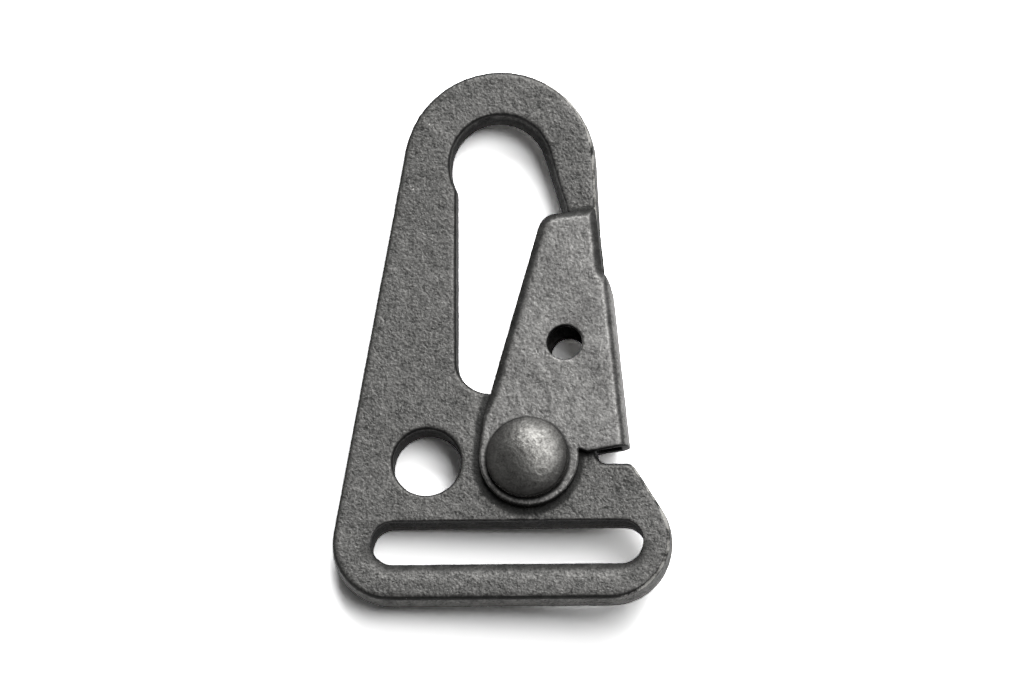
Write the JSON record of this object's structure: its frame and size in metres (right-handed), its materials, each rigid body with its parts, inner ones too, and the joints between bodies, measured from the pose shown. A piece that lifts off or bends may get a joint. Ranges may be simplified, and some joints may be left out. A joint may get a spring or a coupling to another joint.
{
  "type": "snap hook",
  "caption": "Flat snap hook for inch-wide webbing: a long hooked frame closed by a sprung, folded sheet gate on a domed rivet, with a webbing slot and a round hole.",
  "frame": {"origin": "middle of the webbing slot, at half the frame's thickness", "axes": "+X to the gate's side, +Y from the webbing slot towards the hook, +Z out of the front, where the rivet's dome is"},
  "size_m": [0.0335, 0.0537, 0.0087],
  "materials": {
    "frame_steel": "cast steel with a worn dark grey phosphate coat, finely pitted",
    "gate_steel": "sheet steel with a worn grey phosphate coat",
    "rivet_steel": "steel with a worn dark grey coat, rubbed smooth on the dome",
    "spring_steel": "bare spring wire"
  },
  "bodies": {
    "frame": {"frame": "frame_steel", "spring": "spring_steel"},
    "gate": {"gate": "gate_steel", "rivet": "rivet_steel"}
  },
  "joints": [
    {"name": "gate_pivot", "type": "hinge", "parent": "frame", "child": "gate", "pos_m": [0.00203, 0.00811, 0], "axis": [0, 0, 1], "range_deg": [0, 25], "stiffness_Nm_per_rad": 0.07, "springref_deg": -20.05, "deforming": ["spring"]}
  ]
}
